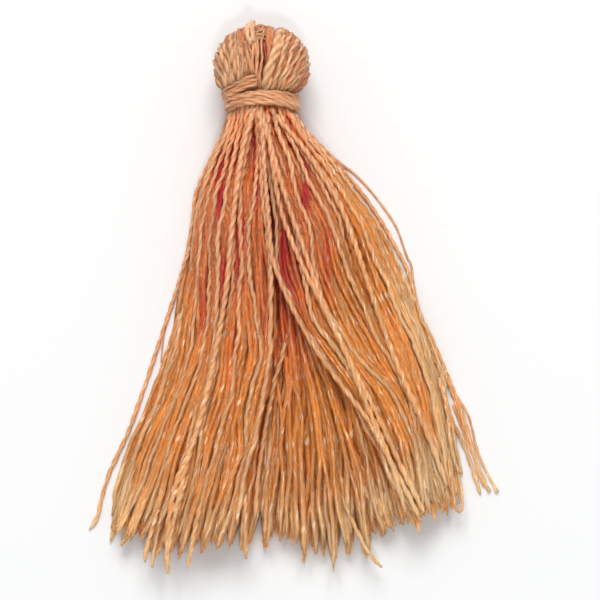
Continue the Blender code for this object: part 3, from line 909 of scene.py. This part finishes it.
def outline_point(bearing, shrink=1.0):
    """Where a line from the head's middle, at a bearing in degrees from +X, meets the outline."""
    c, s = math.cos(math.radians(bearing)), math.sin(math.radians(bearing))
    up = HEAD_UP if s > 0 else HEAD_DOWN
    size = (abs(c / HEAD_HALF_WIDTH) ** HEAD_POWER + abs(s / up) ** HEAD_POWER) ** (-1 / HEAD_POWER) * shrink
    return np.array([c * size, HEAD_MIDDLE_Y + s * size])


def tail_line(x):
    """The height in the picture of the binding's upper tail on the left, and of the binding on the right."""
    return np.interp(x, (-2.2, -1.54, -0.94, -0.33, -0.15, 3.0), (-1.70, -1.43, -1.16, -0.94, -1.70, -1.80))


def half_loop(neck_angle, bearing, bow, shrink, facing, sink=0.0):
    """A thread's path from the neck to the outline on the front (facing 1) or the back (facing -1).

    The sink is how much lower it lies than the head's surface, as a share.
    """
    start = np.array([NECK_RADIUS * shrink * math.sin(math.radians(neck_angle)), -1.85])
    end = outline_point(bearing, shrink)
    control = (start + end) / 2 + bow * np.array([1.0, 0.0])
    s = np.sin(np.linspace(0, math.pi / 2, 48))[:, None]
    flat = start * (1 - s) ** 2 + 2 * control * s * (1 - s) + end * s**2
    z = head_front(flat[:, 0], flat[:, 1], shrink) * (1 - sink)
    z[-1] = 0.0
    depth = NECK_RADIUS * shrink * math.cos(math.radians(neck_angle))
    held = tail_line(flat[:, 0]) if facing > 0 else -1.7
    z = z + (np.minimum(depth, z) - z) * (1 - ease(flat[:, 1] - held, -0.30, 0.42))
    front = np.column_stack([flat, HEAD_CENTRE + facing * z])
    stem = np.array([[start[0] * 0.94, -2.6, front[0, 2]], [start[0] * 0.98, -2.2, front[0, 2]]])
    return np.concatenate([stem, front])


def head_loop(neck_angle, bearing, bow, shrink, radius, plain, depth, sink=0.0):
    """One thread over the head, from the neck's front round to the neck's back."""
    front = half_loop(neck_angle, bearing, bow, shrink, 1, sink)
    back = half_loop(neck_angle + rng.normal(0, 2), bearing, bow * 0.3, shrink, -1)
    path = np.concatenate([front, back[::-1][1:]])
    path[:, 2] = np.maximum(path[:, 2], radius)
    path = respaced(path, 0.2 if plain else 0.12)
    travelled = lengths_along(path)
    held = ease(travelled, 0.5, 2.0) * ease(travelled[-1] - travelled, 0.5, 2.0)
    path[:, 0] += 0.05 * held * np.sin(2 * math.pi * travelled / rng.uniform(1.8, 3.4) + rng.uniform(0, 6))
    smooth = path.copy()
    smooth[1:-1] = (path[:-2] + 2 * path[1:-1] + path[2:]) / 4
    half = lengths_along(smooth)
    radius = radius * (1 - 0.22 * np.exp(-(((half - 0.5 * half[-1]) / 0.9) ** 2)))
    pitch, crease = PLY_PITCH * rng.uniform(1.0, 1.5), rng.uniform(0.5, 0.9)
    thread = spin(smooth, radius, pitch, crease, point=1.0, plain=plain)
    return shade_by_depth(thread, depth, smooth - np.array([0.0, HEAD_MIDDLE_Y, HEAD_CENTRE]), 0.65)


# %% [markdown]
# The front shows three groups. The right lobe's threads lean to the upper right, the first of them the
# thickest. The left lobe's lean left. Between them a deep parting opens like a V, with a few thin pale
# yarns across it. Under the lobes lie a second layer and then three inner ones, which show through every
# gap, painted with shade the more the deeper they lie, and most in the V.

# %% Lay the head's threads
LOBES = (
    # count, first_angle, last_angle, first_bearing, last_bearing, first_bow, last_bow
    (1, 3.0, 3.0, 61.0, 61.0, -0.14, -0.14),
    (9, 12.0, 88.0, 56.0, -16.0, -0.10, 0.42),
    (9, -40.0, -88.0, 128.0, 200.0, -0.12, -0.42),
)
SECOND_LAYER = (
    (23, 12.0, 86.0, 80.0, -18.0, 0.00, 0.40),
    (22, -22.0, -86.0, 110.0, 200.0, -0.05, -0.40),
)
# Painted shade: the buried column darkens each inner layer's colour, and the middle of the V is painted
# deeper still.
VALLEY = (
    # size, sink, count, buried, radius
    (0.98, 0.05, 33, 0.10, 0.125),
    (0.95, 0.10, 25, 0.80, 0.15),
    (0.88, 0.18, 13, 1.20, 0.30),
)
VALLEY_MIDDLE = 0.04
VALLEY_WIDTH = 0.10
# A share of -1 to 1 across the head, as degrees round the neck and round the outline.
NECK_SPAN = 80
OUTLINE_SPAN = 112
YARN_SHARES = np.linspace(-0.42, -0.03, 15)


def lobe(rows, size, tilt, radius, buried, plain):
    """The threads of both lobes in one layer."""
    threads = []
    for count, angle_0, angle_1, bearing_0, bearing_1, bow_0, bow_1 in rows:
        for share in np.linspace(0, 1, count):
            angle = angle_0 + (angle_1 - angle_0) * share + rng.normal(0, tilt)
            bearing = bearing_0 + (bearing_1 - bearing_0) * share + rng.normal(0, tilt)
            thick = radius * rng.uniform(0.8, 1.15) * (1.2 if count == 1 else 1)
            shrink = size + rng.normal(0, 0.010)
            bow = bow_0 + (bow_1 - bow_0) * share + rng.normal(0, 0.04)
            threads.append(head_loop(angle, bearing, bow, shrink, thick, plain, buried, 0.10 * buried))
    return threads


head = mesh_of_threads("head_loops", lobe(LOBES, 1.0, 1.6, 0.180, 0.0, False), head_cotton)
# The second layer is painted with some shade through its buried value.
second = mesh_of_threads("head_second_layer", lobe(SECOND_LAYER, 0.99, 2.0, 0.17, 0.44, False), head_cotton)
valley_threads = []
for shrink, sink, count, depth, radius in VALLEY:
    for share in np.linspace(-1, 1, count):
        deep = math.exp(-(((share - VALLEY_MIDDLE) / VALLEY_WIDTH) ** 2))
        buried = max(depth + rng.normal(0, 0.2), 0) + 0.9 * deep
        bearing = 90 - OUTLINE_SPAN * share + rng.normal(0, 3)
        thick = radius * rng.uniform(0.75, 1.3)
        bow = 0.35 * share + rng.normal(0, 0.08)
        path = (NECK_SPAN * share, bearing, bow, shrink, thick, True, buried, sink + 0.10 * deep)
        valley_threads.append(head_loop(*path))
for share in YARN_SHARES:
    bearing, bow = 90 - OUTLINE_SPAN * share + rng.normal(0, 5), rng.normal(0.0, 0.12)
    thick, buried = rng.uniform(0.08, 0.13), rng.uniform(0.0, 0.3)
    valley_threads.append(head_loop(NECK_SPAN * share, bearing, bow, 1.0, thick, False, buried))
valley = mesh_of_threads("head_inner_layers", valley_threads, head_cotton)

# %% [markdown]
# ## The binding
#
# One thread goes round the neck five times, pulled tight, so it is a little slimmer than the fringe's
# strands and its turns lie half on each other. Then it climbs the front of the left lobe in three close
# passes and dives into the parting. Seen from above, the lower turns bow up in the middle, because the neck
# is tilted.

# %% Wind the binding
BINDING_RADIUS = 1.93
BINDING_THREAD = 0.145
BINDING_LOW = -2.97
BINDING_HIGH = -2.05
BINDING_TURNS = 5


def wound_path():
    """The continuous winding, from the lowest turn up."""
    turn = np.linspace(0, BINDING_TURNS, 520)
    angle = 2 * math.pi * turn + math.radians(200)
    rise = turn / BINDING_TURNS
    y = BINDING_LOW + (BINDING_HIGH - BINDING_LOW) * rise
    y = y + np.maximum(np.sin(angle), 0) ** 1.5 * (0.46 - 0.22 * rise)
    y = y + 0.05 * np.cos(angle) + 0.03 * np.sin(3 * angle + 5 * rise)
    radius = BINDING_RADIUS + 0.05 * np.sin(2.6 * angle) + 0.05 * np.cos(math.pi * turn)
    return np.column_stack([radius * np.cos(angle), y, HEAD_CENTRE + radius * np.sin(angle)])


TAILS = (
    # X and Y, from the left side to the parting
    ((-2.12, -1.72), (-1.85, -1.56), (-1.54, -1.43), (-0.94, -1.16), (-0.45, -0.99), (0.10, -0.86)),
    ((-2.12, -1.93), (-1.85, -1.82), (-1.60, -1.72), (-1.10, -1.46), (-0.62, -1.28), (0.08, -1.12)),
    ((-2.08, -2.12), (-1.85, -1.99), (-1.60, -1.88), (-0.94, -1.62), (-0.55, -1.49), (0.06, -1.38)),
)


def tail_path(*points):
    """A pass of the thread from behind the neck, round its left side and up the front to the parting."""
    flat = curve_through(points, 60)
    z = HEAD_CENTRE + np.maximum(head_front(flat[:, 0], flat[:, 1], 0.97), 0.35)
    z = z - 0.08 - 0.75 * ease(flat[:, 0], -0.22, 0.08)
    front = np.column_stack([flat, z])
    angle = np.radians(np.linspace(262, 186, 30))
    side = points[0][1] - 0.22 * ease(np.degrees(angle), 190, 262)
    reach = np.linspace(BINDING_RADIUS, abs(points[0][0]), 30)
    behind = np.column_stack([reach * np.cos(angle), side, HEAD_CENTRE + reach * np.sin(angle)])
    return np.concatenate([behind, front])


def wound_thread(path):
    """One thread of the binding, open to the side that faces away from the neck's middle, with painted shade
    on its flanks.
    """
    path = respaced(path, RING_STEP)
    away = (path - np.array([0.0, 0.0, HEAD_CENTRE])) * np.array([1.0, 0.0, 1.0])
    return shade_by_depth(spin(path, BINDING_THREAD, 1.6, 0.8), 0.0, away)


binding_threads = [wound_thread(wound_path())] + [wound_thread(tail_path(*row)) for row in TAILS]
binding = mesh_of_threads("binding_thread", binding_threads, binding_cotton)
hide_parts("binding")

# %% [markdown]
# ## The tie
#
# The short thread under the fold shows as a small pale loop that stands over the top of the head, with its
# two legs lying in the parting, and as five turns across the fold beside it.

# %% Loop and turns of the tie
# The side the tie is lit from, and how much painted shade its turns take.
UPWARD = np.array([[0.0, 0.3, 1.0]])
TIE_RADIUS = 0.155
TURN_RADIUS = 0.115
TURN_DEPTH = 0.25
TIE_POINTS = (
    # X, Y, Z
    (-0.58, 0.70, 4.12), (-0.66, 0.92, 4.26), (-0.79, 1.30, 4.16), (-0.80, 1.58, 3.92), (-0.66, 1.84, 3.48),
    (-0.50, 1.99, 3.05), (-0.46, 1.90, 3.25), (-0.52, 1.60, 3.86), (-0.50, 1.28, 4.18), (-0.42, 0.98, 4.26),
    (-0.36, 0.76, 4.12),
)
WRAPS = (
    # y, end, slant
    (1.72, 0.26, 0.10),
    (1.56, 0.40, -0.05),
    (1.38, 0.36, 0.10),
    (1.19, 0.38, 0.0),
    (1.02, 0.28, -0.06),
)


def turn_of_tie(y, end, slant):
    """A turn of the tie across the fold, from the left lobe to the right one, spun."""
    share = np.linspace(0, 1, 24)
    x = -0.42 + (end + 0.42) * share
    level = y + 0.10 * np.sin(math.pi * share) + slant * share
    z = HEAD_CENTRE + head_front(x, level, 1.0) + 0.02 - 0.2 * share**4
    path = respaced(np.column_stack([x, level, z]), 0.1)
    return shade_by_depth(spin(path, TURN_RADIUS, 1.3, 0.5), TURN_DEPTH, UPWARD)


tie_thread = spin(respaced(curve_through(TIE_POINTS, 90), 0.08), TIE_RADIUS, 1.1, 0.5, point=0.5)
tie = mesh_of_threads("tie_loop", [shade_by_depth(tie_thread, 0.0, UPWARD)], tie_cotton)
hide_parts("tie")
tie_turns = mesh_of_threads("tie_turns", [turn_of_tie(*row) for row in WRAPS], head_cotton)

# %% [markdown]
# ## Floor and light
#
# The tassel lies on plain white card in a white room, whose light comes from all sides and keeps the floor
# near white. A soft box stands beyond the head, so the soft grey shadow falls below the hem. A small lamp
# gives the silky threads a few white glints, and more are painted on as painted highlights.

# %% Floor and light
def white_card():
    """The surface the tassel lies on."""
    bpy.ops.mesh.primitive_plane_add(size=0.8, location=(0, -0.012, 0))
    card = bpy.context.object
    card.name = "card"
    material = bpy.data.materials.new("matt_white_card")
    material.use_nodes = True
    tree = material.node_tree
    shader = tree.nodes["Principled BSDF"]
    shader.inputs["Base Color"].default_value = linear("#F9FAFA")
    shader.inputs["Roughness"].default_value = 0.9
    shader.inputs["Specular IOR Level"].default_value = 0.1
    card.data.materials.append(material)


def soft_light(name, place, size, power, target=(0.001, -0.012, 0.0)):
    """A square soft box that faces the tassel. Place and size are in metres."""
    data = bpy.data.lights.new(name, "AREA")
    data.shape = "SQUARE"
    data.size = size
    data.energy = power
    light = bpy.data.objects.new(name, data)
    bpy.context.scene.collection.objects.link(light)
    light.location = place
    aim = np.array(target) - np.array(place)
    from_vertical = math.acos(-aim[2] / np.linalg.norm(aim))
    light.rotation_euler = (from_vertical, 0, math.atan2(aim[1], aim[0]) - math.pi / 2)


white_card()
soft_light("softbox", (-0.01, 0.28, 0.34), 0.22, 1.36)
soft_light("small_lamp", (0.02, -0.14, 0.42), 0.05, 0.24)
world = bpy.data.worlds.new("white_room")
world.use_nodes = True
world.node_tree.nodes["Background"].inputs["Color"].default_value = (1, 1, 1, 1)
world.node_tree.nodes["Background"].inputs["Strength"].default_value = 0.45
bpy.context.scene.world = world
bpy.context.scene.view_settings.view_transform = "Standard"
